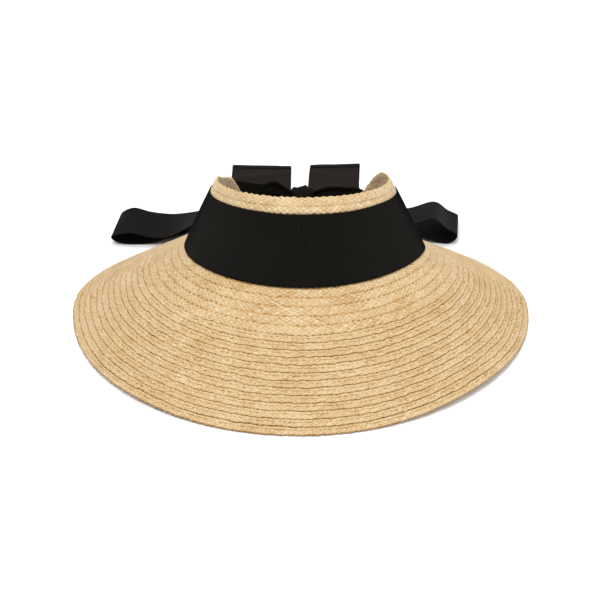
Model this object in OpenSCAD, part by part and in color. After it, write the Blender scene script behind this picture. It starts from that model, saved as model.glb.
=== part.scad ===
// Wide-brimmed, open-backed sun visor of sewn raffia braid, with a wide
// grosgrain ribbon round its headband that ties in a bow behind the head.
// The origin is on the ground under the middle of the head opening.
// -Y is the front and +Y the back of the head, +Z is up. Left and right are
// as seen from in front, so left is -X.

/* [Brim] */
// Half of the brim's width, side to side
brim_half_w = 203; // [180:1:215]
// How far the brim's outline sits towards the right of the head's centre
brim_side = -3; // [-6:1:6]
// Reach of the brim in front of the head's centre
brim_front = 208; // [190:1:220]
// Reach of the brim behind the head's centre
brim_back = 146; // [142:1:165]
// How much the outline flattens between front, sides and back
brim_flatten = 0.002; // [0:0.002:0.02]
// Angle from the front at which the brim's rows stop at the open back
brim_end_angle = 160; // [150:1:166]

/* [Headband] */
// Radius of the headband where it meets the brim
foot_r = 103; // [98:0.5:108]
// Height of that seam at the front
foot_front_z = 77; // [68:0.5:84]
// Height of that seam at the back
foot_back_z = 42; // [34:0.5:50]
// How much the seam sags at the right rear
foot_sag = 6; // [0:0.5:8]
// How much the seam flares out at the right
foot_flare = 3; // [0:0.5:4]
// Radius of the open top
top_r = 75; // [70:0.5:80]
// How far the open top is set back
top_back = 10; // [6:0.5:14]
// Height of the top edge at the front
top_front_z = 142; // [134:0.5:148]
// Fall of the top edge for each millimetre towards the back
top_fall = 0.24; // [0.18:0.01:0.3]
// Angle from the front at which the top edge starts to dip
dip_start = 99; // [90:1:110]
// Angle at which the headband ends
band_end_angle = 152; // [148:1:156]

/* [Braid] */
// Thickness of one braid row
braid_t = 2.2; // [1.6:0.1:2.8]
// Stitched gap between neighbouring rows
sew_gap = 0.15; // [0.1:0.05:0.3]
// Width of the braid that edges the open back
edge_braid_w = 9; // [7:0.5:11]

/* [Ribbon] */
// Thickness of the grosgrain ribbon
ribbon_t = 0.8; // [0.6:0.1:1]
// Space between ribbon and braid
ribbon_gap = 0.4; // [0.3:0.1:0.8]
// Share of the headband's height that the ribbon covers
ribbon_cover = 0.8; // [0.7:0.01:0.8]

/* [Bow] */
// Height of the knot's middle
knot_z = 50; // [48:0.5:51]
// Distance of the knot's middle behind the head's centre
knot_y = 110; // [109:0.5:111]
// Radius of the knot at its middle
knot_r = 13; // [12:0.5:13.5]
// Length of the knot from side to side
knot_w = 27; // [24:1:28]
// Distance behind the head's centre at which the tails end
tail_end_y = 291; // [260:1:300]
// Width of the hem folded at each tail's end
hem_w = 6; // [5:0.5:10]

/* [Hidden] */
brim_rows = 18;
wide_rows = 5;
wide_factor = 1.25;
band_rows = 8;
rim_rows = 2;
all_rows = band_rows + rim_rows;
row_share = 1 / all_rows;
rim_share = rim_rows * row_share;
dip_depth = 0.43;
dip_span = 39;
dip_power = 2.1;
foot_power = 1.4;
sag_middle = 120;
sag_span = 30;
flare_middle = 90;
flare_span = 22;
brim_steps = 40;
band_steps = 36;
ribbon_steps = 44;
loop_steps = 42;
tail_steps = 14;
end_steps = 6;
edge_gap = 0.1;
end_trim = 1;
gather_top = 0.34;
gather_top_from = 122;
gather_top_span = 46;
gather_low = 0.12;
gather_low_from = 140;
gather_low_span = 31;
knot_taper = 2;
hinge_y = 212;
hinge_gap = 0.5;
lie_z = 0.2;
tail_mid_z = lie_z + ribbon_t / 2;
hem_gap = 0.1;
left_tail_x = [12, 71.5];
right_tail_x = [8, 58.5];
curve_step = 0.001;
raffia = [0.86, 0.72, 0.5];
grosgrain = [0.1, 0.095, 0.09];
down = [0, 0, -1];

function two_digits(k) = str(k < 10 ? "0" : "", k);
function brim_name(k) = str("brim_row_", two_digits(k));
function band_name(k) = str("band_row_", two_digits(k));

// --- Curves that the straw shell follows; a is the angle from the front ---

function unit(v) = v / norm(v);
function mix(p, q, t) = p * (1 - t) + q * t;

// Outer edge of the brim, lying on the ground
function brim_edge(a) =
    let (
        trim = 1 - brim_flatten * pow(sin(2 * a), 2),
        reach = abs(a) < 90 ? brim_front : brim_back
    )
    [brim_side + brim_half_w * sin(a) * trim, -reach * cos(a) * trim, braid_t];

// Smooth hump of height 1 round one angle
function hump(a, middle, span) = exp(-pow((a - middle) / span, 2));

// Seam between brim and headband
function foot(a) =
    let (
        t = pow((1 - cos(a)) / 2, foot_power),
        r = foot_r + foot_flare * hump(a, flare_middle, flare_span),
        sag = foot_sag * hump(a, sag_middle, sag_span)
    )
    [r * sin(a), -r * cos(a), foot_front_z + (foot_back_z - foot_front_z) * t - sag];

// Full-height top edge of the headband, before it dips
function top_ring(a) =
    let (back = top_r * (1 - cos(a)))
    [top_r * sin(a), top_back - top_r * cos(a), top_front_z - top_fall * back];

// Share of the brim's slope below the upper edge of row k; the rows nearest the seam are wider
function row_top(k) =
    let (narrow = brim_rows - wide_rows)
    (min(k, narrow) + wide_factor * max(k - narrow, 0)) / (narrow + wide_factor * wide_rows);

// Point on the brim: u is 0 at the outer edge and 1 at the seam
function on_brim(u, a) = mix(brim_edge(a), foot(a), u);

// Point on the headband: v is 0 at the seam and 1 at the full-height top
function on_band(v, a) = mix(foot(a), top_ring(a), v);

// Height share of the headband's real top edge, which dips towards the back
function rim_v(a) =
    abs(a) < dip_start ? 1 : 1 - dip_depth * pow((abs(a) - dip_start) / dip_span, dip_power);

// Angle at which the rim rows come down to height share v
function dip_angle(v) = dip_start + dip_span * pow((1 - v - rim_share) / dip_depth, 1 / dip_power);

// Outward direction of the headband's wall
function band_out(a) =
    let (
        up = unit(top_ring(a) - foot(a)),
        along = unit(foot(a + 1) - foot(a - 1))
    )
    unit(cross(along, up));

// --- Solids lofted through rings of four corners ---

module loft(rings) {
    n = len(rings);
    m = len(rings[0]);
    sides = [
        for (i = [0:n - 2], j = [0:m - 1])
            let (a = i * m + j, b = i * m + (j + 1) % m, c = b + m, d = a + m)
                each j == 1 ? [[a, b, d], [b, c, d]] : [[a, b, c], [a, c, d]]
    ];
    first = [for (j = [m - 1:-1:0]) j];
    last = [for (j = [0:m - 1]) (n - 1) * m + j];
    polyhedron([for (r = rings) each r], concat(sides, [first, last]), convexity = 6);
}

// Strip between a lower and an upper curve; the depth vector leads from its outer to its inner face
module strip(lower, upper, depth, from, to, steps) {
    loft([
        for (i = [0:steps])
            let (
                a = from + (to - from) * i / steps,
                p = lower(a),
                q = upper(a),
                d = depth(a),
                g = unit(q - p) * sew_gap / 2
            )
            [p + g, p + g + d, q - g + d, q - g]
    ]);
}

// Smooth curve through a list of points, for s from 0 to 1
function curve(p, s) =
    let (
        n = len(p) - 1,
        i = min(floor(s * n), n - 1),
        t = s * n - i,
        a = p[max(i - 1, 0)],
        b = p[i],
        c = p[i + 1],
        d = p[min(i + 2, n)]
    )
    (2 * b + (c - a) * t + (2 * a - 5 * b + 4 * c - d) * pow(t, 2)
        + (3 * b - a - 3 * c + d) * pow(t, 3)) / 2;

// Ribbon between two edge curves, given as lists of points
module ribbon(near, far, steps) {
    loft([
        for (i = [0:steps])
            let (
                s = i / steps,
                p = curve(near, s),
                q = curve(far, s),
                ahead = curve(near, min(s + curve_step, 1)),
                along = ahead - curve(near, max(s - curve_step, 0)),
                out = unit(cross(along, q - p)) * ribbon_t / 2
            )
            [p + out, p - out, q - out, q + out]
    ]);
}

// --- Straw rows ---

module brim_row(k) {
    color(raffia)
        strip(
            function(a) on_brim(row_top(k - 1), a),
            function(a) on_brim(row_top(k), a),
            function(a) down * braid_t,
            -brim_end_angle, brim_end_angle, brim_steps
        );
}

// A row under the ribbon, cut where it runs out under the dipping rim
module band_row(k) {
    end = dip_angle((k - 1) * row_share) - end_trim;
    color(raffia)
        strip(
            function(a) on_band((k - 1) * row_share, a),
            function(a) on_band(min(k * row_share, rim_v(a) - rim_share), a),
            function(a) -band_out(a) * braid_t,
            -end, end, band_steps
        );
}

// A row that follows the top edge and dips with it; place is 0 for the upper one
module rim_row(place) {
    color(raffia)
        strip(
            function(a) on_band(rim_v(a) - (place + 1) * row_share, a),
            function(a) on_band(rim_v(a) - place * row_share, a),
            function(a) -band_out(a) * braid_t,
            -band_end_angle, band_end_angle, band_steps
        );
}

// Braid that binds the ends of the brim rows along the open back
module edge_braid(side) {
    turn = edge_braid_w / brim_back * 180 / PI;
    inner = side * (brim_end_angle + edge_gap);
    outer = side * (brim_end_angle + edge_gap + turn);
    color(raffia)
        strip(
            function(u) on_brim(u, side > 0 ? inner : outer),
            function(u) on_brim(u, side > 0 ? outer : inner),
            function(u) down * braid_t,
            1, 0, end_steps
        );
}

// --- Ribbon round the headband ---

function ease(x) = let (t = min(max(x, 0), 1)) t * t * (3 - 2 * t);

// The ribbon's edges gather towards the knot
function ribbon_top_v(a) =
    ribbon_cover - gather_top * ease((abs(a) - gather_top_from) / gather_top_span);
function ribbon_low_v(a) = gather_low * ease((abs(a) - gather_low_from) / gather_low_span);
function ribbon_face(v, a) = on_band(v, a) + band_out(a) * (ribbon_gap + ribbon_t);

module ribbon_band() {
    end = 180 - asin((knot_w / 2 + hinge_gap) / foot_r);
    color(grosgrain)
        strip(
            function(a) ribbon_face(ribbon_low_v(a), a),
            function(a) ribbon_face(ribbon_top_v(a), a),
            function(a) -band_out(a) * ribbon_t,
            -end, end, ribbon_steps
        );
}

// --- Bow ---

// Barrel-shaped wrap round the crossing ribbons, its axis from side to side
module bow_knot() {
    bulge_r = (pow(knot_w / 2, 2) + pow(knot_taper, 2)) / (2 * knot_taper);
    color(grosgrain)
        translate([0, knot_y, knot_z])
            rotate([0, 90, 0])
                rotate_extrude($fn = 96)
                    intersection() {
                        translate([0, -knot_w / 2])
                            square([knot_r, knot_w]);
                        translate([knot_r - bulge_r, 0])
                            circle(r = bulge_r, $fn = 240);
                    }
}

// Edges of each loop: out along the upper ply, round the fold, back along the lower ply.
// The near edge faces the brim, the far edge faces away from it.
left_near = [
    [-18, 110, 51], [-45, 110, 46], [-75, 111, 37], [-102, 112, 25.5], [-125, 113, 12.5],
    [-145, 116, 10], [-163, 117, 14], [-180, 119, 9], [-170, 120, 1.6], [-148, 120, 1.5],
    [-125, 117, 9.5], [-102, 114, 19.5], [-75, 112, 33], [-45, 111, 43], [-18, 110, 47]
];
left_far = [
    [-18, 124, 51], [-45, 133, 43], [-75, 149, 27], [-100, 163, 14], [-125, 171, 6.5],
    [-146, 171, 8.9], [-163, 170, 13.8], [-179, 168, 9], [-170, 170, 1.6], [-147, 173, 1.3],
    [-125, 174, 1.3], [-100, 166, 7], [-75, 150, 20], [-45, 134, 38], [-18, 124, 47]
];
right_near = [
    [18, 110, 51], [45, 110, 46], [75, 111, 36], [100, 114, 26.5], [122, 116, 29],
    [135, 118, 18.5], [146, 121, 9], [137, 121, 1.3], [116, 122, 6.5], [96, 119, 17],
    [75, 113, 30], [45, 111, 43], [18, 110, 47]
];
right_far = [
    [18, 124, 51], [45, 133, 43], [75, 150, 27], [100, 166, 17.5], [126, 170, 20.5],
    [140, 170, 11.5], [150, 168, 6.5], [140, 170, 1.3], [118, 174, 1.3], [96, 168, 5],
    [75, 151, 20], [45, 134, 38], [18, 124, 47]
];

module left_loop() {
    color(grosgrain)
        ribbon(left_near, left_far, loop_steps);
}

module right_loop() {
    color(grosgrain)
        ribbon(right_far, right_near, loop_steps);
}

// Edges of each tail, from the knot over the open back and out along the ground;
// x holds the distances of its inner and outer edge from the middle
function tail_outer(side, x) = [
    [side * 24, 121, 41], [side * 33, 142, 26], [side * 47, 162, 9],
    [side * (x[1] - 4), 186, 1.4], [side * x[1], hinge_y, tail_mid_z]
];
function tail_inner(side, x) = [
    [side * 5, 122, 39], [side * 6, 143, 24], [side * 7, 163, 8],
    [side * 8, 187, 1.4], [side * x[0], hinge_y, tail_mid_z]
];

module tail(side, x) {
    outer = tail_outer(side, x);
    inner = tail_inner(side, x);
    color(grosgrain)
        ribbon(side > 0 ? inner : outer, side > 0 ? outer : inner, tail_steps);
}

// Flat stretch of a tail between two distances behind the head's centre
module flat_tail(side, x, from_y, to_y, z) {
    color(grosgrain)
        translate([side > 0 ? x[0] : -x[1], from_y, z])
            cube([x[1] - x[0], to_y - from_y, ribbon_t]);
}

module tail_end(side, x) {
    flat_tail(side, x, hinge_y + hinge_gap, tail_end_y, lie_z);
}

// Hem folded back on top of the tail's end
module tail_hem(side, x) {
    flat_tail(side, x, tail_end_y - hem_w, tail_end_y, lie_z + ribbon_t + hem_gap);
}

for (k = [1:brim_rows])
    brim_row(k);
for (k = [1:band_rows])
    band_row(k);
rim_row(1);  // rim_row_lower
rim_row(0);  // rim_row_upper
edge_braid(-1);  // left_edge_braid
edge_braid(1);  // right_edge_braid
ribbon_band();
bow_knot();
left_loop();
right_loop();
tail(-1, left_tail_x);  // left_tail
tail(1, right_tail_x);  // right_tail
tail_end(-1, left_tail_x);  // left_tail_end
tail_end(1, right_tail_x);  // right_tail_end
tail_hem(-1, left_tail_x);  // left_tail_hem
tail_hem(1, right_tail_x);  // right_tail_hem
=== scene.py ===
# Looks for the straw sun visor: plaited raffia rows, grosgrain ribbon and bow.
import math

import bpy
import numpy as np
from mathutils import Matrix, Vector


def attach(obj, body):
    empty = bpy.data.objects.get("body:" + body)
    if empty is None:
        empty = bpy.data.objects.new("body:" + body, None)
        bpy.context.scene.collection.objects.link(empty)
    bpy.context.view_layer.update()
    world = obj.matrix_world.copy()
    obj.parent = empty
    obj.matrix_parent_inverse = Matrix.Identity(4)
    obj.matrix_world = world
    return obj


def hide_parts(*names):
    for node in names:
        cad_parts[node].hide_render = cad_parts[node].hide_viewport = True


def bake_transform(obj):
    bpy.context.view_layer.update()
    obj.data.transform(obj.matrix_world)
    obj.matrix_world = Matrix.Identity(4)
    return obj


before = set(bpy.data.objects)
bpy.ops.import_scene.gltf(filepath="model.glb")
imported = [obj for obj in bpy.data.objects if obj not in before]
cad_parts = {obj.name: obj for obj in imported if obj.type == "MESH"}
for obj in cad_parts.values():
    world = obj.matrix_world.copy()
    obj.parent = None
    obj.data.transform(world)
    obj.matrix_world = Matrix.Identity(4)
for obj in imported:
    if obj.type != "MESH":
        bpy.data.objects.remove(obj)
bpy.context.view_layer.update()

# --- Sizes shared with the CAD source, in millimetres and degrees ---

BRIM_SIDE = -3.0
BRIM_HALF_W = 203.0
BRIM_FRONT = 208.0
BRIM_BACK = 146.0
BRIM_FLATTEN = 0.002
BRIM_CURL = 1.8
BRIM_END = 160.0
BRIM_ROWS = 18
WIDE_ROWS = 5
WIDE_FACTOR = 1.25
BRIM_SLOPE = 129.0
BAND_ROWS = 8
ROW_SHARE = 0.1
RIM_SHARE = 0.2
BAND_ROW_W = 7.2
FOOT_R = 103.0
FOOT_FRONT_Z = 77.0
FOOT_BACK_Z = 42.0
FOOT_TURN = 1.4
TOP_R = 75.0
TOP_BACK = 10.0
TOP_FRONT_Z = 142.0
TOP_FALL = 0.24
RIM_END = 156.0
BRAID_T = 2.2
RIBBON_T = 0.8
RIBBON_W = 58.0
RIBBON_GAP = 0.4
TOP_SHARE = 0.81
TOP_DROP = 0.33
RIB_PITCH = 1.15
TOOTH_PITCH = 1.9
KNOT = (0.0, 110.0, 50.0)
KNOT_W = 27.0
KNOT_R = 13.0
HINGE_Y = 212.0
TAIL_Z = 0.6
HEM_W = 6.0

# Local swells of the shell: size, middle angle and span
SIDE_BULGE = (2.2, -77, 20)
FOOT_SAG = (6.0, 120, 30)
FOOT_FLARE = (3.0, 90, 22)
RIGHT_LIFT = (5.0, 47, 21)
LEFT_LIFT = (2.6, -45, 20)

# --- Curves of the straw shell; a is the angle from the front in degrees ---


def lerp(p, q, t):
    return p + (q - p) * np.asarray(t)[..., None]


def hump(a, middle, span):
    return np.exp(-(((a - middle) / span) ** 2))


def swell(a, shape):
    size, middle, span = shape
    return size * hump(a, middle, span)


def brim_edge(a):
    r = np.radians(a)
    trim = 1 - BRIM_FLATTEN * np.sin(2 * r) ** 2
    reach = np.where(np.abs(a) < 90, BRIM_FRONT, BRIM_BACK)
    x = BRIM_SIDE + BRIM_HALF_W * np.sin(r) * trim + swell(a, SIDE_BULGE)
    y = -reach * np.cos(r) * trim
    return np.stack([x, y, np.full_like(r, BRAID_T)], -1)


def foot(a):
    r = np.radians(a)
    t = ((1 - np.cos(r)) / 2) ** FOOT_TURN
    radius = FOOT_R + swell(a, FOOT_FLARE)
    z = FOOT_FRONT_Z + (FOOT_BACK_Z - FOOT_FRONT_Z) * t - swell(a, FOOT_SAG)
    return np.stack([radius * np.sin(r), -radius * np.cos(r), z], -1)


def top_ring(a):
    r = np.radians(a)
    z = TOP_FRONT_Z - TOP_FALL * TOP_R * (1 - np.cos(r))
    return np.stack([TOP_R * np.sin(r), TOP_BACK - TOP_R * np.cos(r), z], -1)


def edge_lift(a):
    """Height by which the brim's outer edge stands off the ground."""
    return swell(a, RIGHT_LIFT) + swell(a, LEFT_LIFT)


def row_top(k):
    """Share of the brim's slope below the upper edge of row k."""
    narrow = BRIM_ROWS - WIDE_ROWS
    return (min(k, narrow) + WIDE_FACTOR * max(k - narrow, 0)) / (narrow + WIDE_FACTOR * WIDE_ROWS)


def on_brim(u, a):
    p = lerp(brim_edge(a), foot(a), u)
    p[..., 2] += edge_lift(a) * np.clip(1 - u, 0, 1) ** BRIM_CURL
    return p


def on_band(v, a):
    return lerp(foot(a), top_ring(a), v)


def smooth(x):
    t = np.clip(x, 0, 1)
    return t * t * (3 - 2 * t)


def rim_v(a):
    """Height share of the top edge, which dips differently on the two sides."""
    b = np.abs(a)
    left = 0.13 * smooth((b - 92) / 30) + 0.43 * (np.clip(b - 118, 0, 32) / 24) ** 2
    right = 0.45 * (np.clip(b - 102, 0, None) / 39) ** 2.3
    return 1 - np.where(np.asarray(a) < 0, left, right)


def dip_angle(v, side):
    """Angle at which the rim rows come down to height share v on one side."""
    a = np.linspace(90, RIM_END, 400)
    return float(np.interp(v + RIM_SHARE, rim_v(side * a)[::-1], a[::-1]))


def normals(surface, s, a):
    """Outward unit normals of a surface(s, a), where s runs up the slope."""
    e = 1e-3
    up = surface(s + e, a) - surface(s - e, a)
    along = surface(s, a + e) - surface(s, a - e)
    n = np.cross(along, up)
    return n / np.linalg.norm(n, axis=-1, keepdims=True)


def wander(x, scale, rng):
    """Smooth random wave of about unit height over distance x."""
    x = np.asarray(x, float) / scale
    x = x - x.min()
    knots = rng.normal(0, 0.6, int(x.max()) + 3)
    i = np.floor(x).astype(int)
    t = smooth(x - i)
    return knots[i] * (1 - t) + knots[i + 1] * t


# --- Mesh building ---


def grid_faces(n, m, closed):
    """Quads over n rings of m points; closed joins each ring's end to its start."""
    i, j = np.meshgrid(np.arange(n - 1), np.arange(m if closed else m - 1), indexing="ij")
    k = (j + 1) % m
    quads = np.stack([i * m + j, i * m + k, (i + 1) * m + k, (i + 1) * m + j], -1)
    return quads.reshape(-1, 4)


def ring_caps(n, m):
    """Quads that close both ends of n rings of m points, for an even m."""
    caps = []
    for j in range(1, m // 2):
        caps.append([j - 1, j, m - 1 - j, m - j])
    caps = np.array(caps)
    return np.concatenate([caps[:, ::-1], caps + (n - 1) * m])


class Parts:
    """Collects pieces of one mesh with its shading attributes."""

    def __init__(self):
        self.points, self.quads, self.fibre, self.tone, self.row = [], [], [], [], []
        self.count = 0

    def add(self, points, quads, fibre, tone, row=(0, 0, 0)):
        points = points.reshape(-1, 3)
        self.points.append(points)
        self.quads.append(quads + self.count)
        self.fibre.append(np.broadcast_to(fibre, points.shape).reshape(-1, 3))
        self.tone.append(np.broadcast_to(tone, len(points)))
        self.row.append(np.broadcast_to(row, points.shape).reshape(-1, 3))
        self.count += len(points)

    def build(self, name, material):
        points = np.concatenate(self.points) * 0.001
        quads = np.concatenate(self.quads)
        mesh = bpy.data.meshes.new(name)
        mesh.vertices.add(len(points))
        mesh.vertices.foreach_set("co", points.astype(np.float32).ravel())
        mesh.loops.add(quads.size)
        mesh.loops.foreach_set("vertex_index", quads.astype(np.int32).ravel())
        mesh.polygons.add(len(quads))
        mesh.polygons.foreach_set("loop_start", np.arange(0, quads.size, 4, dtype=np.int32))
        mesh.update(calc_edges=True)
        mesh.shade_smooth()
        for key, values in (("fibre", self.fibre), ("row", self.row)):
            attribute = mesh.attributes.new(key, "FLOAT_VECTOR", "POINT")
            attribute.data.foreach_set("vector", np.concatenate(values).astype(np.float32).ravel())
        tone = mesh.attributes.new("tone", "FLOAT", "POINT")
        tone.data.foreach_set("value", np.concatenate(self.tone).astype(np.float32))
        mesh.materials.append(material)
        obj = bpy.data.objects.new(name, mesh)
        bpy.context.scene.collection.objects.link(obj)
        return obj


# --- Materials ---

# Share of a narrow row's width at which its stitch groove runs
GROOVE_SHARE = 0.56


def new_material(name):
    material = bpy.data.materials.new(name)
    material.use_nodes = True
    tree = material.node_tree
    return material, tree, tree.nodes["Principled BSDF"]


def mesh_value(tree, name):
    node = tree.nodes.new("ShaderNodeAttribute")
    node.attribute_name = name
    return node


def scaled(tree, source, scale):
    node = tree.nodes.new("ShaderNodeVectorMath")
    node.operation = "MULTIPLY"
    tree.links.new(source, node.inputs[0])
    node.inputs[1].default_value = scale
    return node.outputs[0]


def maths(tree, operation, a, b):
    node = tree.nodes.new("ShaderNodeMath")
    node.operation = operation
    for socket, value in zip(node.inputs, (a, b)):
        if isinstance(value, (int, float)):
            socket.default_value = value
        else:
            tree.links.new(value, socket)
    return node.outputs[0]


def noise(tree, vector, scale, detail=2.0, roughness=0.5):
    node = tree.nodes.new("ShaderNodeTexNoise")
    node.inputs["Scale"].default_value = scale
    node.inputs["Detail"].default_value = detail
    node.inputs["Roughness"].default_value = roughness
    tree.links.new(vector, node.inputs["Vector"])
    return node.outputs["Fac"]


def ramp(tree, factor, stops):
    node = tree.nodes.new("ShaderNodeValToRGB")
    elements = node.color_ramp.elements
    while len(elements) < len(stops):
        elements.new(0.5)
    for element, (place, colour) in zip(elements, stops):
        element.position = place
        element.color = (*colour, 1)
    tree.links.new(factor, node.inputs["Fac"])
    return node.outputs["Color"]


def bump(tree, height, strength, distance):
    node = tree.nodes.new("ShaderNodeBump")
    node.inputs["Strength"].default_value = strength
    node.inputs["Distance"].default_value = distance
    tree.links.new(height, node.inputs["Height"])
    return node.outputs["Normal"]


def rounded(tree, value, low, high, at_low, at_high):
    """Smooth step of a value from low to high."""
    node = tree.nodes.new("ShaderNodeMapRange")
    node.interpolation_type = "SMOOTHSTEP"
    tree.links.new(value, node.inputs["Value"])
    for name, number in zip(("From Min", "From Max", "To Min", "To Max"), (low, high, at_low, at_high)):
        node.inputs[name].default_value = number
    return node.outputs["Result"]


def centred(tree, value, amount):
    return maths(tree, "MULTIPLY", maths(tree, "SUBTRACT", value, 0.5), amount)


def total(tree, first, *rest):
    for value in rest:
        first = maths(tree, "ADD", first, value)
    return first


def raffia_material(name, stops):
    """Split palm-leaf strands: fine fibres along each strand, patchy golden tone.

    row holds the place along a sewn row, the share of its width, and how much painted shade it shows:
    in the stitch groove, in the crease under the next row and along its own lower lip.
    """
    material, tree, shader = new_material(name)
    fibre = mesh_value(tree, "fibre").outputs["Vector"]
    tone = mesh_value(tree, "tone").outputs["Fac"]
    row = mesh_value(tree, "row").outputs["Vector"]
    place = tree.nodes.new("ShaderNodeTexCoord").outputs["Object"]
    streaks = noise(tree, scaled(tree, fibre, (0.08, 2.0, 1.0)), 1.0, 3.0, 0.6)
    hairs = noise(tree, scaled(tree, fibre, (0.25, 7.0, 1.0)), 1.0, 2.0, 0.6)
    patches = noise(tree, place, 34.0, 2.0)
    parts = tree.nodes.new("ShaderNodeSeparateXYZ")
    tree.links.new(row, parts.inputs[0])
    # Painted shade in the stitch groove: a dark dashed line along the row at GROOVE_SHARE of its width.
    drift = noise(tree, scaled(tree, row, (0.11, 0.0, 0.0)), 1.0, 2.0)
    line = total(tree, parts.outputs["Y"], centred(tree, drift, 0.12), -GROOVE_SHARE)
    groove = rounded(tree, maths(tree, "ABSOLUTE", line, 0.0), 0.015, 0.10, 1.0, 0.0)
    broken = noise(tree, scaled(tree, row, (0.24, 0.6, 0.0)), 1.0, 2.0)
    dashes = rounded(tree, broken, 0.38, 0.6, 0.2, 1.0)
    groove = maths(tree, "MULTIPLY", groove, dashes)
    # Painted shade in the crease near the row's upper edge, where the next row overlaps it; it fades in and
    # out along the row.
    crease = rounded(tree, parts.outputs["Y"], 0.88, 0.97, 0.0, 1.0)
    fading = noise(tree, scaled(tree, row, (0.15, 0.0, 1.0)), 1.0, 2.0)
    faint = rounded(tree, fading, 0.36, 0.58, 0.30, 1.0)
    crease = maths(tree, "MULTIPLY", crease, faint)
    # Painted shade along the row's own lower lip, where it stands over the row below.
    under = rounded(tree, parts.outputs["Y"], -0.01, 0.045, -0.34, 0.0)
    seams = total(tree, under, maths(tree, "MULTIPLY", crease, -0.60))
    seams = maths(tree, "MULTIPLY", seams, rounded(tree, parts.outputs["Z"], 0.1, 0.4, 0.0, 1.0))
    groove = maths(tree, "MULTIPLY", groove, rounded(tree, parts.outputs["Z"], 0.5, 1.5, 0.0, -0.68))
    marks = total(tree, groove, seams)
    factor = total(
        tree,
        tone,
        marks,
        centred(tree, streaks, 0.36),
        centred(tree, hairs, 0.10),
        centred(tree, patches, 0.4),
    )
    tree.links.new(ramp(tree, factor, stops), shader.inputs["Base Color"])
    rough = maths(tree, "ADD", maths(tree, "MULTIPLY", hairs, 0.3), 0.42)
    tree.links.new(rough, shader.inputs["Roughness"])
    relief = total(tree, streaks, maths(tree, "MULTIPLY", hairs, 0.5), maths(tree, "MULTIPLY", marks, 3.0))
    tree.links.new(bump(tree, relief, 0.55, 0.0004), shader.inputs["Normal"])
    shader.inputs["Specular IOR Level"].default_value = 0.35
    shader.inputs["Sheen Weight"].default_value = 0.12
    shader.inputs["Sheen Roughness"].default_value = 0.4
    return material


def grosgrain_material(name, dark, light):
    """Ribbed ribbon; fibre.x runs along the ribbon in millimetres, fibre.y across it."""
    material, tree, shader = new_material(name)
    fibre = mesh_value(tree, "fibre").outputs["Vector"]
    tone = mesh_value(tree, "tone").outputs["Fac"]
    threads = noise(tree, scaled(tree, fibre, (5.0, 0.7, 1.0)), 1.0, 2.0, 0.6)
    cloudy = noise(tree, scaled(tree, fibre, (0.05, 0.05, 1.0)), 1.0, 2.0)
    rib = tree.nodes.new("ShaderNodeTexWave")
    rib.wave_type = "BANDS"
    rib.bands_direction = "X"
    rib.inputs["Scale"].default_value = 1.0
    rib.inputs["Distortion"].default_value = 0.15
    turn = 2 * math.pi / 20 / RIB_PITCH
    tree.links.new(scaled(tree, fibre, (turn, 0.02, 0.0)), rib.inputs["Vector"])
    ribs_seen = centred(tree, rib.outputs["Fac"], 1.7)
    factor = total(tree, tone, centred(tree, threads, 1.3), ribs_seen, centred(tree, cloudy, 0.7))
    tree.links.new(ramp(tree, factor, [(0.0, dark), (1.0, light)]), shader.inputs["Base Color"])
    rough = maths(tree, "ADD", maths(tree, "MULTIPLY", threads, 0.2), 0.62)
    tree.links.new(rough, shader.inputs["Roughness"])
    relief = maths(tree, "ADD", rib.outputs["Fac"], maths(tree, "MULTIPLY", threads, 0.35))
    tree.links.new(bump(tree, relief, 0.8, 0.0005), shader.inputs["Normal"])
    shader.inputs["Specular IOR Level"].default_value = 0.05
    shader.inputs["Sheen Weight"].default_value = 0.012
    shader.inputs["Sheen Roughness"].default_value = 0.35
    shader.inputs["Sheen Tint"].default_value = (0.9, 0.8, 0.7, 1)
    return material


# Straw colours from dark to pale; the dark end also colours the painted shade in the seams, crease and
# groove.
STRAW = [
    (0.0, (0.30, 0.148, 0.04)),
    (0.22, (0.40, 0.225, 0.078)),
    (0.42, (0.458, 0.302, 0.129)),
    (0.62, (0.515, 0.37, 0.20)),
    (1.0, (0.62, 0.495, 0.325)),
]
RAFFIA = raffia_material("raffia_braid", STRAW)
RIBBON = grosgrain_material("black_grosgrain", (0.0009, 0.0008, 0.0006), (0.0112, 0.0104, 0.0086))
# The tails lying on the ground use a lighter, browner copy of the black ribbon: painted light for the
# grazing sheen on them.
TAIL_RIBBON_PAINTED_SHEEN = grosgrain_material("black_grosgrain_tails_painted_sheen", (0.007, 0.0048, 0.004), (0.018, 0.0135, 0.0113))

# --- Plaited rows ---

RING_POINTS = 8
# Tones of the core strip under the strands: painted shade where it shows between them, lighter on wide rows
# and paler still under the rim rows.
CORE_SHADE_TONE = 0.1
WIDE_CORE_SHADE_TONE = 0.2
PALE_CORE_SHADE_TONE = 0.34

# Strand count, distance between folds on one edge, spread of the strands' middle
# lines, half width and half thickness of a strand, height of a crossing, sharpness
# of the folds, rings a turn
NARROW = (5, 5.0, 5.5, 1.34, 0.60, 0.42, 0.97, 44)
WIDE = (5, 5.3, 7.2, 1.48, 0.60, 0.40, 0.98, 44)
BAND = (3, 5.3, 4.4, 1.75, 0.50, 0.45, 0.95, 20)
RIM_UPPER = (5, 6.0, 5.9, 1.42, 0.74, 0.52, 0.985, 44)
RIM_LOWER = (3, 5.2, 4.5, 1.80, 0.56, 0.45, 0.93, 30)
EDGE = (3, 5.3, 5.4, 1.75, 0.56, 0.50, 0.95, 30)


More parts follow.
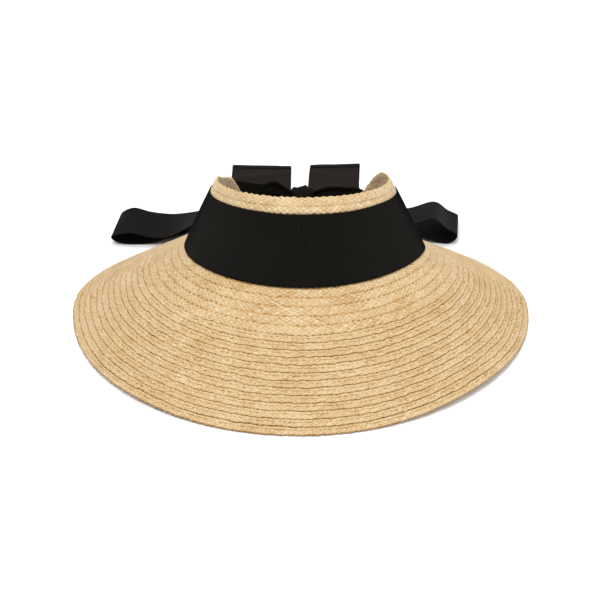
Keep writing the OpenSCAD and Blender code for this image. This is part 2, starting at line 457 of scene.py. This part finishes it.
def plait(
    parts, place, length, style, rng, marks=None, lap=0.0, base_tone=0.53, core_shade_tone=CORE_SHADE_TONE, inner=0.0
):
    """A flat plait of an odd number of strands along x, laid out by place(x, y, z).

    Each strand crosses over and under the others in turn. marks(x, y) gives the row
    attribute for the painted shade along its seams, lap widens the core up under the next row,
    inner adds painted light to the strands' inner faces, and core_shade_tone is the painted shade of the
    core where it shows between strands.
    """
    strands, pitch, width, half_w, half_t, rise, sharp, steps = style
    period = pitch * strands
    count = max(int(length / period * steps), 8)
    x = np.linspace(0, length, count)
    turn = np.linspace(0, 2 * math.pi, RING_POINTS, endpoint=False)
    quads = np.concatenate([grid_faces(count, RING_POINTS, True), ring_caps(count, RING_POINTS)])
    drift = 0.9 * wander(x, 30, rng)
    for s in range(strands):
        phase = 2 * math.pi * (x / period + s / strands) + drift + 0.16 * wander(x, 14, rng)
        y = -0.5 * width * np.arcsin(sharp * np.cos(phase)) / math.asin(sharp)
        y = y + 0.14 * wander(x, 6, rng)
        side = np.tanh(2.6 * np.sin(phase)) / math.tanh(2.6)
        z = -rise * np.cos(strands * phase) * side + 0.10 * wander(x, 5, rng)
        dx, dy = np.gradient(x), np.gradient(y)
        size = np.hypot(dx, dy)
        wide = half_w * (1 + 0.16 * wander(x, 9, rng))
        thick = half_t * (1 + 0.20 * wander(x, 7, rng))
        across = wide[:, None] * np.cos(turn)
        px = x[:, None] - across * (dy / size)[:, None]
        py = y[:, None] + across * (dx / size)[:, None]
        pz = z[:, None] + thick[:, None] * np.sin(turn)
        along = np.cumsum(size)[:, None] + 0 * across
        fibre = np.stack([along, across, np.full_like(along, rng.uniform(0, 90))], -1)
        leaf = np.floor(phase / math.pi).astype(int)
        leaf = leaf - leaf.min()
        leaf_tone = rng.normal(0, 0.075, leaf.max() + 2)[leaf]
        # Painted shade and light: a strand is darker where it dips under a crossing and lighter where it
        # rises over it.
        depth = 0.17 * np.clip(z / rise, -1, 1)
        # Painted shade along each strand's edges, where it meets its neighbours.
        edge = -0.16 * np.abs(np.cos(turn)) ** 4
        # Painted light on the strands' inner faces.
        inside = inner * np.clip(-np.sin(turn), 0, 1)
        tone = (base_tone + leaf_tone + depth + 0.05 * wander(x, 60, rng))[:, None] + edge + inside
        row = (0, 0, 0) if marks is None else marks(px, py).reshape(-1, 3)
        parts.add(place(px, py, pz), quads, fibre.reshape(-1, 3), tone.ravel(), row)
    # The core strip closes the gaps between strands; its dark tone is painted shade where it shows through
    # them.
    core_x = np.linspace(0, length, max(int(length / 4), 4))
    reach = width / 2 + half_w * 0.35
    top = reach + lap
    corner = np.array([[-reach, -0.12], [top, -0.12 - 0.2 * lap], [top, 0.12 - 0.2 * lap], [-reach, 0.12]])
    cx = core_x[:, None] + 0 * corner[None, :, 0]
    cy = 0 * core_x[:, None] + corner[None, :, 0]
    cz = 0 * core_x[:, None] + corner[None, :, 1]
    quads = np.concatenate([grid_faces(len(core_x), 4, True), ring_caps(len(core_x), 4)])
    fibre = np.stack([cx, cy, 0 * cx], -1).reshape(-1, 3)
    parts.add(place(cx, cy, cz), quads, fibre, core_shade_tone)


def arc_table(curve, start, end):
    """Distance along a curve against its angle."""
    a = np.linspace(start, end, 721)
    p = curve(a)
    step = np.linalg.norm(np.diff(p, axis=0), axis=1)
    return np.concatenate([[0], np.cumsum(step)]), a


MM_PER_DEGREE = 2.6
ANGLES = np.linspace(-180, 180, 721)
ROUND = ANGLES * MM_PER_DEGREE
seam_rng = np.random.default_rng(5)
SEAMS = [
    0.52 * wander(ROUND, 4.6, seam_rng) + 0.36 * wander(ROUND, 28, seam_rng)
    for _ in range(BRIM_ROWS + 1)
]
OVERHANG = 0.5
EDGE_OVERHANG = 1.0
CORE_LAP = 2.8

# Where the steps between rows are lower than elsewhere: share, middle angle and span
LOW_STEPS = (0.4, -44, 34)


def brim_place(k):
    """Maps a row's own coordinates onto the brim; x along, y up from its seam, z outward."""
    low, high = row_top(k - 1), row_top(k)
    row_w = (high - low) * BRIM_SLOPE
    distance, angle = arc_table(lambda a: on_brim((low + high) / 2, a), -BRIM_END, BRIM_END)
    first = k == 1
    press = 0.22 * wander(distance, 9, np.random.default_rng(700 + k))
    base, fall = (-0.80, 0.4) if first else (-0.45, 0.75)
    if k > BRIM_ROWS - WIDE_ROWS:
        base, fall = -0.55, 0.25

    def place(x, y, z):
        a = np.interp(x, distance, angle)
        share = y / row_w
        shift = np.interp(a, ANGLES, SEAMS[k - 1]) * (1 - share) + np.interp(a, ANGLES, SEAMS[k]) * share
        if first:
            shift = shift * share
        u = low + (y + shift) / BRIM_SLOPE
        lean = fall * (1 - swell(a, LOW_STEPS)) * share
        tilt = base - lean + np.interp(x, distance, press) * np.clip(1 - share, 0, 1)
        n = normals(on_brim, u, a)
        return on_brim(u, a) + n * (tilt + z)[..., None]

    def angle_at(x):
        return np.interp(x, distance, angle)

    return place, distance[-1], row_w, angle_at


def brim_row(k):
    rng = np.random.default_rng(100 + k)
    place, length, row_w, angle_at = brim_place(k)
    wide_row = k > BRIM_ROWS - WIDE_ROWS
    style = WIDE if wide_row else NARROW
    # the visible edge stands at the seam line; the rest runs up under the next row
    middle = style[2] / 2 + style[3] - (EDGE_OVERHANG if k == 1 else OVERHANG)

    def shifted(x, y, z):
        return place(x, y + middle, z)

    def marks(x, y):
        a = angle_at(x)
        # at the sides the painted shade of the seam reaches further up the row, and the groove's painted
        # shade fades out
        share = (y + middle) / row_w + (0.05 if wide_row else 0) - 0.17 * smooth((np.abs(a) - 66) / 26)
        groove = 1.12 - 0.62 * smooth((-a - 56) / 22) - 0.12 * smooth((a - 78) / 14)
        # On wide rows the seam's painted shade comes and goes in dots at the notches between folds.
        notch_shade = 0.24 + 0.22 * np.clip(np.cos(2 * math.pi * (x + 1.2 * share) / WIDE[1]), 0, 1)
        return np.stack([x, share, notch_shade if wide_row else groove], -1)

    parts = Parts()
    core_shade_tone = WIDE_CORE_SHADE_TONE if wide_row else CORE_SHADE_TONE
    plait(parts, shifted, length, style, rng, marks, CORE_LAP, core_shade_tone=core_shade_tone)
    node = f"brim_row_{k:02d}"
    obj = parts.build(f"brim_braid_{k:02d}", RAFFIA)
    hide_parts(node)
    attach(obj, "straw_shell")


for k in range(1, BRIM_ROWS + 1):
    brim_row(k)


def band_row(k):
    """A row of the headband under the ribbon; its inner face shows inside the opening."""
    rng = np.random.default_rng(200 + k)
    v_low = (k - 1) * ROW_SHARE
    distance, angle = arc_table(
        lambda a: on_band(v_low + ROW_SHARE / 2, a), 1 - dip_angle(v_low, -1), dip_angle(v_low, 1) - 1
    )

    def place(x, y, z):
        a = np.interp(x, distance, angle)
        v = v_low + (y / BAND_ROW_W + 0.5) * ROW_SHARE
        v = np.minimum(v, rim_v(a) - 0.12)
        n = normals(on_band, v, a)
        return on_band(v, a) + n * (z - BRAID_T / 2)[..., None]

    parts = Parts()
    # inner paints light onto the strands' inner faces, seen inside the opening.
    plait(parts, place, distance[-1], BAND, rng, lap=1.6, inner=0.25)
    obj = parts.build(f"band_braid_{k:02d}", RAFFIA)
    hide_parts(f"band_row_{k:02d}")
    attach(obj, "straw_shell")


for k in range(1, BAND_ROWS + 1):
    band_row(k)


def rim_row(node, down, style, centre, tuck):
    """A row that follows the dipping top edge, its middle line that far below the edge."""
    rng = np.random.default_rng(300 + down)
    distance, angle = arc_table(lambda a: on_band(rim_v(a), a), -RIM_END, RIM_END)

    def place(x, y, z):
        a = np.interp(x, distance, angle)
        e = 0.01
        slope = (rim_v(a + e) - rim_v(a - e)) / (2 * e)
        wide = np.linalg.norm(on_band(rim_v(a), a + e) - on_band(rim_v(a), a - e), axis=-1) / (2 * e)
        tall = np.linalg.norm(top_ring(a) - foot(a), axis=-1)
        size = np.hypot(wide, tall * slope)
        depth = centre - y
        a2 = a + depth * tall * slope / size / wide
        v = rim_v(a) - depth * wide / size / tall
        v = np.clip(v, -0.01, 1.05)
        tilt = -0.75 - tuck * (y + BAND_ROW_W / 2)
        n = normals(on_band, v, a2)
        return on_band(v, a2) + n * (tilt + z)[..., None]

    parts = Parts()
    # Painted light on the strands' inner faces, and a paler painted shade on the core.
    plait(parts, place, distance[-1], style, rng, base_tone=0.62, core_shade_tone=PALE_CORE_SHADE_TONE, inner=0.3)
    obj = parts.build(node + "_braid", RAFFIA)
    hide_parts(node)
    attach(obj, "straw_shell")


rim_row("rim_row_lower", 1, RIM_LOWER, 10.8, 0.03)
rim_row("rim_row_upper", 0, RIM_UPPER, 4.0, 0.04)


def edge_braid(name, side):
    """The braid that binds the brim rows' ends at the open back."""
    rng = np.random.default_rng(400 + side)
    middle = BRIM_END + 1.5
    u_at = np.linspace(-0.01, 1.0, 200)
    line = on_brim(u_at, np.full(200, side * middle))
    step = np.linalg.norm(np.diff(line, axis=0), axis=1)
    distance = np.concatenate([[0], np.cumsum(step)])

    def place(x, y, z):
        u = np.interp(x, distance, u_at)
        radius = BRIM_BACK + (FOOT_R - BRIM_BACK) * u
        a = side * (middle + np.degrees(y / radius))
        n = normals(on_brim, u, a)
        return on_brim(u, a) + n * (z - 0.45)[..., None]

    parts = Parts()
    plait(parts, place, distance[-1], EDGE, rng)
    obj = parts.build(name + "_plait", RAFFIA)
    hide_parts(name)
    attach(obj, "straw_shell")


edge_braid("left_edge_braid", -1)
edge_braid("right_edge_braid", 1)

# --- Ribbon sheets ---


def sheet_mesh(name, middle, normal, along_mm, across_mm, thick, material, tone=0.5):
    """Closed thin sheet from a grid of middle points (n, m, 3) and their normals."""
    n, m = middle.shape[:2]
    half = normal * thick / 2
    front, back = middle + half, middle - half
    ring = np.concatenate([front, back[:, ::-1]], axis=1)
    fibre = np.stack([along_mm, across_mm, np.zeros_like(along_mm)], -1)
    fibre = np.concatenate([fibre, fibre[:, ::-1]], axis=1)
    quads = np.concatenate([grid_faces(n, 2 * m, True), ring_caps(n, 2 * m)])
    parts = Parts()
    parts.add(ring, quads, fibre.reshape(-1, 3), tone)
    return parts.build(name, material)


def grid_normals(p):
    du = np.gradient(p, axis=0)
    dv = np.gradient(p, axis=1)
    n = np.cross(du, dv)
    return n / np.maximum(np.linalg.norm(n, axis=-1, keepdims=True), 1e-9)


def ribs(points, normal, along, across_share, depth, tooth):
    """Presses fine cross ribs into a ribbon grid and gives its edges small teeth."""
    wave = np.cos(2 * math.pi * along / RIB_PITCH)
    out = points + normal * (depth * wave)[..., None]
    side = np.gradient(points, axis=1)
    side = side / np.maximum(np.linalg.norm(side, axis=-1, keepdims=True), 1e-9)
    edge = np.clip(np.abs(across_share * 2 - 1) - 0.93, 0, None) / 0.07 * np.sign(across_share - 0.5)
    teeth = np.cos(2 * math.pi * along / TOOTH_PITCH)
    return out + side * (edge * teeth * tooth)[..., None]


def ribbon_top(a):
    """Height share of the ribbon's top edge, which falls in folds towards the knot."""
    b = np.abs(a)
    left = -TOP_DROP * smooth((b - 108) / 70) + 0.09 * hump(b, 163, 5)
    right = -TOP_DROP * smooth((b - 106) / 62) - 0.08 * hump(b, 140, 5) + 0.03 * hump(b, 161, 7)
    return TOP_SHARE + np.where(a < 0, left, right)


def ribbon_band():
    end = 180 - math.degrees(math.asin((KNOT_W / 2 + 0.5) / FOOT_R))
    distance, angle = arc_table(lambda a: on_band(np.full_like(a, 0.4), a), -end, end)
    n, m = int(distance[-1] / (RIB_PITCH / 3)), 30
    x = np.linspace(0, distance[-1], n)
    a1 = np.interp(x, distance, angle)
    t1 = np.linspace(0, 1, m)
    a, t = np.meshgrid(a1, t1, indexing="ij")
    along = np.broadcast_to(x[:, None], a.shape)
    rng = np.random.default_rng(31)
    low = 0.12 * smooth((np.abs(a) - 140) / 31) + 0.004
    top_wave = 0.004 * wander(x, 35, rng)[:, None] + 0.003 * wander(x, 12, rng)[:, None]
    v = low + (ribbon_top(a) + top_wave - low) * t
    gather = smooth((np.abs(a) - 124) / 40)
    loose = 0.35 * np.abs(wander(x, 45, rng))[:, None] * np.sin(math.pi * t)
    pleat = 0.5 + 0.5 * np.sin(2 * math.pi * (2.6 * t + 0.012 * a * np.sign(a)) + 1.2)
    fullness = np.sin(math.pi * np.clip(t, 0.02, 0.98)) ** 0.5
    out = RIBBON_GAP + RIBBON_T / 2 + loose + 5.2 * gather * pleat * fullness
    outward = normals(on_band, v, a)
    p = on_band(v, a) + outward * out[..., None]
    entry = np.stack([np.sign(a) * 9.0, KNOT[1] - 5 + 4.5 * pleat, KNOT[2] - 6.5 + 19 * t], -1)
    p = lerp(p, entry, smooth((np.abs(a) - 164) / (end - 164)) ** 1.5)
    nrm = grid_normals(p)
    nrm = nrm * np.sign(np.sum(nrm * outward))
    p = ribs(p, nrm, along, t, 0.11, 0.4)
    obj = sheet_mesh("ribbon_band_cloth", p, nrm, along, t * RIBBON_W, RIBBON_T, RIBBON)
    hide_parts("ribbon_band")
    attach(obj, "straw_shell")
    return obj, distance[-1]


band_cloth, band_length = ribbon_band()


def curve(points, s):
    """Catmull-Rom curve through points, the same one as in the CAD source."""
    p = np.asarray(points, float)
    n = len(p) - 1
    i = np.minimum(np.floor(s * n).astype(int), n - 1)
    t = (s * n - i)[..., None]
    a, b = p[np.maximum(i - 1, 0)], p[i]
    c, d = p[i + 1], p[np.minimum(i + 2, n)]
    return (2 * b + (c - a) * t + (2 * a - 5 * b + 4 * c - d) * t**2 + (3 * b - a - 3 * c + d) * t**3) / 2


def ribbon_grid(near, far, pleats, rng, ridge=0.0):
    """Grid of points between two edge curves, with pleats where pleats(distance) isn't nought."""
    s0 = np.linspace(0, 1, 400)
    middle = (curve(near, s0) + curve(far, s0)) / 2
    step = np.linalg.norm(np.diff(middle, axis=0), axis=1)
    distance = np.concatenate([[0], np.cumsum(step)])
    n, m = int(distance[-1] / (RIB_PITCH / 3)), 34
    x = np.linspace(0, distance[-1], n)
    s = np.interp(x, distance, s0)
    t = np.linspace(0, 1, m)
    p = lerp(curve(near, s)[:, None, :], curve(far, s)[:, None, :], t[None, :])
    normal = grid_normals(p)
    end_distance = np.minimum(x, distance[-1] - x) if pleats["both"] else x
    depth = pleats["depth"] * np.exp(-((end_distance / pleats["reach"]) ** 2))
    sway = 0.15 * wander(x, 30, rng)[:, None]
    wave = np.sin(2 * math.pi * (pleats["count"] * t[None, :] + sway) + pleats["phase"])
    soft = 0.5 * wander(x, 22, rng)[:, None] * np.cos(math.pi * t)[None, :] * pleats["soft"]
    floor_free = smooth((p[..., 2] - 1.2) / 8)
    fullness = np.sin(math.pi * np.clip(t, 0.06, 0.94))[None, :] ** 0.4
    move = (depth[:, None] * wave * fullness + soft) * floor_free
    p = p + normal * move[..., None]
    p[..., 2] = np.maximum(p[..., 2], TAIL_Z)
    p[..., 2] += ridge * hump(p[..., 1], 276 - 0.23 * np.abs(p[..., 0]), 7.5)
    along = np.broadcast_to(x[:, None], p.shape[:2])
    share = np.broadcast_to(t[None, :], p.shape[:2])
    normal = grid_normals(p)
    p = ribs(p, normal, along, share, 0.08, 0.5)
    return p, normal, along, share, distance[-1]


LEFT_NEAR = [
    (-8, 105, 52), (-45, 110, 46), (-75, 111, 37), (-102, 112, 25.5), (-125, 113, 12.5),
    (-145, 116, 10), (-163, 117, 14), (-181, 119, 9), (-171, 120, 1.6), (-148, 120, 1.5),
    (-125, 117, 9.5), (-102, 114, 19.5), (-75, 112, 33), (-45, 111, 43), (-8, 105, 47.5),
]
LEFT_FAR = [
    (-8, 115, 52), (-45, 133, 43), (-75, 149, 27), (-100, 163, 14), (-125, 171, 6.5),
    (-146, 171, 8.9), (-163, 170, 13.8), (-175, 168, 9), (-170, 170, 1.6), (-147, 173, 1.3),
    (-125, 174, 1.3), (-100, 166, 7), (-75, 150, 20), (-45, 134, 38), (-8, 115, 47.5),
]
RIGHT_NEAR = [
    (8, 105, 52), (45, 110, 46), (75, 111, 36), (100, 115, 23.5), (122, 116, 29),
    (135, 118, 18.5), (146, 121, 9), (137, 121, 1.3), (116, 122, 6.5), (96, 119, 17),
    (75, 113, 30), (45, 111, 43), (8, 105, 47.5),
]
RIGHT_FAR = [
    (8, 115, 52), (45, 133, 43), (75, 150, 27), (100, 166, 15.5), (126, 170, 20.5),
    (140, 170, 11.5), (150, 168, 6.5), (140, 170, 1.3), (118, 174, 1.3), (96, 168, 5),
    (75, 151, 20), (45, 134, 38), (8, 115, 47.5),
]
LOOP_PLEATS = {"depth": 3.0, "reach": 48.0, "count": 3.0, "phase": 0.4, "both": True, "soft": 1.0}
TAIL_PLEATS = {"depth": 2.2, "reach": 30.0, "count": 2.0, "phase": 1.0, "both": False, "soft": 0.5}


def loop(name, near, far, seed):
    p, normal, along, share, length = ribbon_grid(near, far, LOOP_PLEATS, np.random.default_rng(seed))
    obj = sheet_mesh(name + "_cloth", p, normal, along, share * RIBBON_W, RIBBON_T, RIBBON)
    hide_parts(name)
    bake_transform(obj)


loop("left_loop", LEFT_NEAR, LEFT_FAR, 41)
loop("right_loop", RIGHT_FAR, RIGHT_NEAR, 42)


def tail(name, side, inner_x, outer_x, turn, ends, ridge, seed):
    outer = [
        (side * 11, 113, 48), (side * 33, 142, 26), (side * 47, 162, 9),
        (side * (outer_x - 4), 186, 1.4), (side * (outer_x - turn), HINGE_Y, TAIL_Z),
        (side * (outer_x - turn * 0.8), 249, TAIL_Z), (side * outer_x, ends[1], TAIL_Z),
    ]
    inner = [
        (side * 1.5, 113, 47), (side * 6, 143, 24), (side * 7, 163, 8),
        (side * 8, 187, 1.4), (side * (inner_x - turn), HINGE_Y, TAIL_Z),
        (side * (inner_x - turn * 0.8), 249, TAIL_Z), (side * inner_x, ends[0], TAIL_Z),
    ]
    near, far = (inner, outer) if side > 0 else (outer, inner)
    p, normal, along, share, length = ribbon_grid(near, far, TAIL_PLEATS, np.random.default_rng(seed), ridge)
    # The tail takes the lighter ribbon copy, painted light for its grazing sheen.
    obj = sheet_mesh(name + "_cloth", p, normal, along, share * RIBBON_W, RIBBON_T, TAIL_RIBBON_PAINTED_SHEEN)
    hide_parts(name, name + "_end")
    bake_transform(obj)
    hem = hem_strip(name + "_hem", side, inner_x, outer_x, ends, seed)


def hem_strip(node, side, inner_x, outer_x, ends, seed):
    """The tail's folded end: a rounded fold with a line of stitches along its raw edge."""
    rng = np.random.default_rng(seed + 50)
    x = np.linspace(inner_x, outer_x, int((outer_x - inner_x) / 0.5)) * side
    if side < 0:
        x = x[::-1]
    gx, gy = np.meshgrid(x, -HEM_W * np.linspace(0, 1, 12), indexing="ij")
    gy = gy + np.interp(np.abs(gx), (inner_x, outer_x), ends)
    puff = 0.35 * np.sin(math.pi * np.linspace(0, 1, 12))[None, :]
    z = TAIL_Z + RIBBON_T + 0.15 + puff + 0.12 * wander(np.abs(x), 9, rng)[:, None]
    p = np.stack([gx, gy + 0.15 * wander(np.abs(x), 7, rng)[:, None], z], -1)
    normal = np.zeros_like(p)
    normal[..., 2] = 1
    # The hem and its stitches take the same painted sheen as the tail.
    obj = sheet_mesh(node + "_cloth", p, normal, gy, np.abs(gx), RIBBON_T, TAIL_RIBBON_PAINTED_SHEEN, 0.45)
    stitches = Parts()
    turn = np.linspace(0, 2 * math.pi, 6, endpoint=False)
    for start in np.arange(inner_x + 1.5, outer_x - 2.5, 3.2):
        line = np.linspace(0, 2.2, 7)
        arch = TAIL_Z + RIBBON_T * 1.5 + 0.12 + 0.2 * np.sin(math.pi * line / 2.2)
        cx = (start + line)[:, None] + 0 * turn
        cy = np.interp(cx, (inner_x, outer_x), ends) - HEM_W + 1.1 + 0.16 * np.cos(turn)[None, :]
        cz = arch[:, None] + 0.16 * np.sin(turn)[None, :]
        quads = np.concatenate([grid_faces(7, 6, True), ring_caps(7, 6)])
        stitches.add(np.stack([side * cx, cy, cz], -1), quads, 0.0, 0.7)
    thread = stitches.build(node + "_stitches", TAIL_RIBBON_PAINTED_SHEEN)
    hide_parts(node)
    body = node.replace("_hem", "_end")
    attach(obj, body)
    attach(thread, body)
    return obj


tail("left_tail", -1, 12.0, 71.5, 0.0, (289.7, 292.0), 1.6, 51)
tail("right_tail", 1, 8.0, 58.5, 2.5, (292.0, 295.5), 0.6, 52)


def knot():
    """The wrap round the middle of the bow: pleats run round it, and it bulges between them."""
    rng = np.random.default_rng(61)
    turns, m = 150, 60
    angle = np.linspace(0, 2 * math.pi, turns, endpoint=False)
    t = np.linspace(-1, 1, m)
    a, s = np.meshgrid(angle, t, indexing="ij")
    body = np.sqrt(np.clip(1 - np.abs(s) ** 3.2, 0, 1))
    pleats = 0.75 * np.sin(7.5 * s + 0.8 * np.sin(a) + 0.5) + 0.3 * np.sin(15 * s - 1.1 * np.cos(a))
    lump = 0.5 * np.sin(2 * a + 0.6) + 0.3 * np.sin(3 * a + 2.0 * s)
    radius = (KNOT_R - 1.2 + pleats * body + lump) * (0.35 + 0.65 * body)
    x = KNOT[0] + (KNOT_W / 2) * s * 0.98 + 0.25 * np.sin(3 * a)
    p = np.stack([x, KNOT[1] + radius * np.sin(a) * 0.95, KNOT[2] + 2 + radius * np.cos(a) * 1.08], -1)
    quads = grid_faces(turns + 1, m, False) % (turns * m)
    ends = []
    for side in (0, m - 1):
        ring = np.arange(turns) * m + side
        half = turns // 2
        for j in range(1, half):
            quad = [ring[j - 1], ring[j], ring[turns - 1 - j], ring[turns - j]]
            ends.append(quad if side == 0 else quad[::-1])
    quads = np.concatenate([quads, np.array(ends)])
    fibre = np.stack([a * KNOT_R, s * 29, 0 * a], -1)
    parts = Parts()
    parts.add(p, quads, fibre.reshape(-1, 3), 0.5)
    obj = parts.build("bow_knot_wrap", RIBBON)
    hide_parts("bow_knot")
    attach(obj, "straw_shell")


knot()

# --- Floor, light and camera ---

floor_mesh = bpy.data.meshes.new("floor")
floor_mesh.from_pydata([(-6, -6, 0), (6, -6, 0), (6, 6, 0), (-6, 6, 0)], [], [(0, 1, 2, 3)])
floor = bpy.data.objects.new("floor", floor_mesh)
bpy.context.scene.collection.objects.link(floor)
floor_material, floor_tree, floor_shader = new_material("white_sweep")
floor_shader.inputs["Base Color"].default_value = (0.93, 0.93, 0.93, 1)
floor_shader.inputs["Roughness"].default_value = 0.9
floor_mesh.materials.append(floor_material)

world = bpy.data.worlds.new("studio")
bpy.context.scene.world = world
world.use_nodes = True
world.node_tree.nodes["Background"].inputs["Color"].default_value = (1, 1, 1, 1)
world.node_tree.nodes["Background"].inputs["Strength"].default_value = 0.7


def area_light(name, place, target, size, power, colour=(1, 1, 1)):
    light = bpy.data.lights.new(name, "AREA")
    light.shape = "DISK"
    light.size = size
    light.energy = power
    light.color = colour
    obj = bpy.data.objects.new(name, light)
    bpy.context.scene.collection.objects.link(obj)
    obj.location = place
    direction = np.array(target, float) - np.array(place, float)
    obj.rotation_euler = Vector(direction).to_track_quat("-Z", "Y").to_euler()
    return obj


area_light("key", (-0.55, -1.1, 1.9), (0, 0, 0.05), 1.4, 30)
area_light("fill", (1.6, -1.0, 1.2), (0, 0, 0.05), 1.4, 12)
area_light("top", (0.1, 0.6, 2.3), (0, 0.05, 0), 1.6, 22)

camera_data = bpy.data.cameras.new("camera")
camera_data.lens = 114.0
camera_data.sensor_width = 36.0
camera = bpy.data.objects.new("camera", camera_data)
camera.location = (-0.0027, -1.4733, 0.8413)
camera.rotation_euler = (math.radians(60.5), 0, 0)
bpy.context.scene.collection.objects.link(camera)
bpy.context.scene.camera = camera
bpy.context.scene.view_settings.view_transform = "Standard"
bpy.context.scene.view_settings.look = "None"
